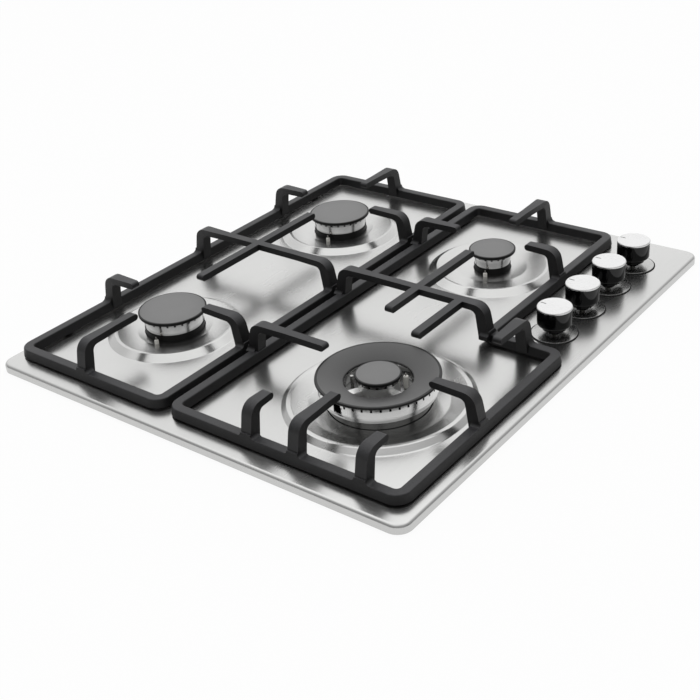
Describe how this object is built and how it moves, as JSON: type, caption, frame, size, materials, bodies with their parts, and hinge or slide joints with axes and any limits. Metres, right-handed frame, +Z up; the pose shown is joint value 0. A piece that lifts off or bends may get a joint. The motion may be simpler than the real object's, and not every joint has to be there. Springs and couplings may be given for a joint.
{
  "type": "gas cooktop",
  "caption": "Built-in gas cooktop: pressed stainless plate, ring and round burners, lift-off cast pan supports and push-turn knobs along one edge, over a boxed base with taps and pipes.",
  "frame": {"origin": "under the middle of the cooktop, level with the heads of the clamp screws", "axes": "+X along the knob edge with the knobs on the right, +Y from the knob edge to the rear edge, +Z up out of the worktop"},
  "size_m": [0.58, 0.51, 0.1025],
  "materials": {
    "stainless_sheet": "brushed stainless, soft sheen",
    "seal_foam": "closed-cell foam",
    "zinc_sheet": "zinc-plated sheet",
    "screw_steel": "plated",
    "pipe_aluminium": "drawn tube",
    "brass": "machined",
    "black_plastic": "moulded, matt",
    "gloss_black": "gloss black",
    "bright_disc": "satin bright",
    "black_enamel": "black enamel",
    "cast_aluminium": "polished casting",
    "cap_enamel": "satin grey enamel",
    "ring_enamel": "satin dark grey enamel",
    "white_ceramic": "fired ceramic",
    "probe_steel": "stainless sheath with copper lead",
    "lead_silicone": "silicone sleeve",
    "grate_iron": "matt black enamelled casting",
    "foot_rubber": "moulded rubber"
  },
  "bodies": {
    "cooktop": {"top_plate": "stainless_sheet", "burner_wells": "stainless_sheet", "perimeter_seal": "seal_foam", "burner_box": "zinc_sheet", "box_screws": "screw_steel", "worktop_clamps": "zinc_sheet", "clamp_screws": "screw_steel", "gas_manifold": "pipe_aluminium", "gas_inlet": "brass", "cable_gland": "black_plastic", "spark_module": "black_plastic", "left_burner_bracket": "zinc_sheet", "right_burner_bracket": "zinc_sheet", "pot_screws": "screw_steel", "gas_injectors": "brass", "knob_bezels": "gloss_black", "wok_supply_tube": "pipe_aluminium", "rear_left_supply_tube": "pipe_aluminium", "small_supply_tube": "pipe_aluminium", "rear_right_supply_tube": "pipe_aluminium", "rear_left_pot": "black_enamel", "rear_right_pot": "black_enamel", "small_pot": "black_enamel", "wok_pot": "black_enamel", "spark_electrodes": "white_ceramic", "flame_probes": "probe_steel", "ignition_leads": "lead_silicone", "tap_1": "brass", "tap_2": "brass", "tap_3": "brass", "tap_4": "brass"},
    "plug_1": {"tap_plug_1": "brass"},
    "control_1": {"spindle_1": "screw_steel", "knob_1": "gloss_black", "knob_disc_1": "bright_disc"},
    "plug_2": {"tap_plug_2": "brass"},
    "control_2": {"spindle_2": "screw_steel", "knob_2": "gloss_black", "knob_disc_2": "bright_disc"},
    "plug_3": {"tap_plug_3": "brass"},
    "control_3": {"spindle_3": "screw_steel", "knob_3": "gloss_black", "knob_disc_3": "bright_disc"},
    "plug_4": {"tap_plug_4": "brass"},
    "control_4": {"spindle_4": "screw_steel", "knob_4": "gloss_black", "knob_disc_4": "bright_disc"},
    "rear_left_head_body": {"rear_left_head": "cast_aluminium"},
    "rear_right_head_body": {"rear_right_head": "cast_aluminium"},
    "small_head_body": {"small_head": "cast_aluminium"},
    "wok_head_body": {"wok_head": "cast_aluminium"},
    "rear_left_cap_body": {"rear_left_cap": "cap_enamel"},
    "rear_right_cap_body": {"rear_right_cap": "cap_enamel"},
    "small_cap_body": {"small_cap": "cap_enamel"},
    "wok_ring_cap_body": {"wok_ring_cap": "ring_enamel"},
    "wok_centre_cap_body": {"wok_centre_cap": "cap_enamel"},
    "rear_support": {"rear_grate": "grate_iron", "rear_grate_feet": "foot_rubber"},
    "front_support": {"front_grate": "grate_iron", "front_grate_feet": "foot_rubber"}
  },
  "joints": [
    {"name": "knob_turn_1", "type": "hinge", "parent": "cooktop", "child": "plug_1", "pos_m": [0.0484, -0.2038, 0.061], "axis": [0, 0, 1], "range_deg": [0, 210]},
    {"name": "knob_push_1", "type": "slide", "parent": "plug_1", "child": "control_1", "axis": [0, 0, -1], "range_m": [0, 0.0045], "stiffness_N_per_m": 1000, "springref_m": -0.003},
    {"name": "knob_turn_2", "type": "hinge", "parent": "cooktop", "child": "plug_2", "pos_m": [0.1077, -0.2038, 0.061], "axis": [0, 0, 1], "range_deg": [0, 210]},
    {"name": "knob_push_2", "type": "slide", "parent": "plug_2", "child": "control_2", "axis": [0, 0, -1], "range_m": [0, 0.0045], "stiffness_N_per_m": 1000, "springref_m": -0.003},
    {"name": "knob_turn_3", "type": "hinge", "parent": "cooktop", "child": "plug_3", "pos_m": [0.167, -0.2038, 0.061], "axis": [0, 0, 1], "range_deg": [0, 210]},
    {"name": "knob_push_3", "type": "slide", "parent": "plug_3", "child": "control_3", "axis": [0, 0, -1], "range_m": [0, 0.0045], "stiffness_N_per_m": 1000, "springref_m": -0.003},
    {"name": "knob_turn_4", "type": "hinge", "parent": "cooktop", "child": "plug_4", "pos_m": [0.2263, -0.2038, 0.061], "axis": [0, 0, 1], "range_deg": [0, 210]},
    {"name": "knob_push_4", "type": "slide", "parent": "plug_4", "child": "control_4", "axis": [0, 0, -1], "range_m": [0, 0.0045], "stiffness_N_per_m": 1000, "springref_m": -0.003},
    {"name": "rear_left_head_lift", "type": "slide", "parent": "cooktop", "child": "rear_left_head_body", "axis": [0, 0, 1], "range_m": [0, 0.025]},
    {"name": "rear_right_head_lift", "type": "slide", "parent": "cooktop", "child": "rear_right_head_body", "axis": [0, 0, 1], "range_m": [0, 0.025]},
    {"name": "small_head_lift", "type": "slide", "parent": "cooktop", "child": "small_head_body", "axis": [0, 0, 1], "range_m": [0, 0.025]},
    {"name": "wok_head_lift", "type": "slide", "parent": "cooktop", "child": "wok_head_body", "axis": [0, 0, 1], "range_m": [0, 0.025]},
    {"name": "rear_left_cap_lift", "type": "slide", "parent": "rear_left_head_body", "child": "rear_left_cap_body", "axis": [0, 0, 1], "range_m": [0, 0.025]},
    {"name": "rear_right_cap_lift", "type": "slide", "parent": "rear_right_head_body", "child": "rear_right_cap_body", "axis": [0, 0, 1], "range_m": [0, 0.025]},
    {"name": "small_cap_lift", "type": "slide", "parent": "small_head_body", "child": "small_cap_body", "axis": [0, 0, 1], "range_m": [0, 0.025]},
    {"name": "wok_ring_cap_lift", "type": "slide", "parent": "wok_head_body", "child": "wok_ring_cap_body", "axis": [0, 0, 1], "range_m": [0, 0.025]},
    {"name": "wok_centre_cap_lift", "type": "slide", "parent": "wok_head_body", "child": "wok_centre_cap_body", "axis": [0, 0, 1], "range_m": [0, 0.025]},
    {"name": "rear_support_lift", "type": "slide", "parent": "cooktop", "child": "rear_support", "axis": [0, 0, 1], "range_m": [0, 0.06]},
    {"name": "front_support_lift", "type": "slide", "parent": "cooktop", "child": "front_support", "axis": [0, 0, 1], "range_m": [0, 0.06]}
  ]
}
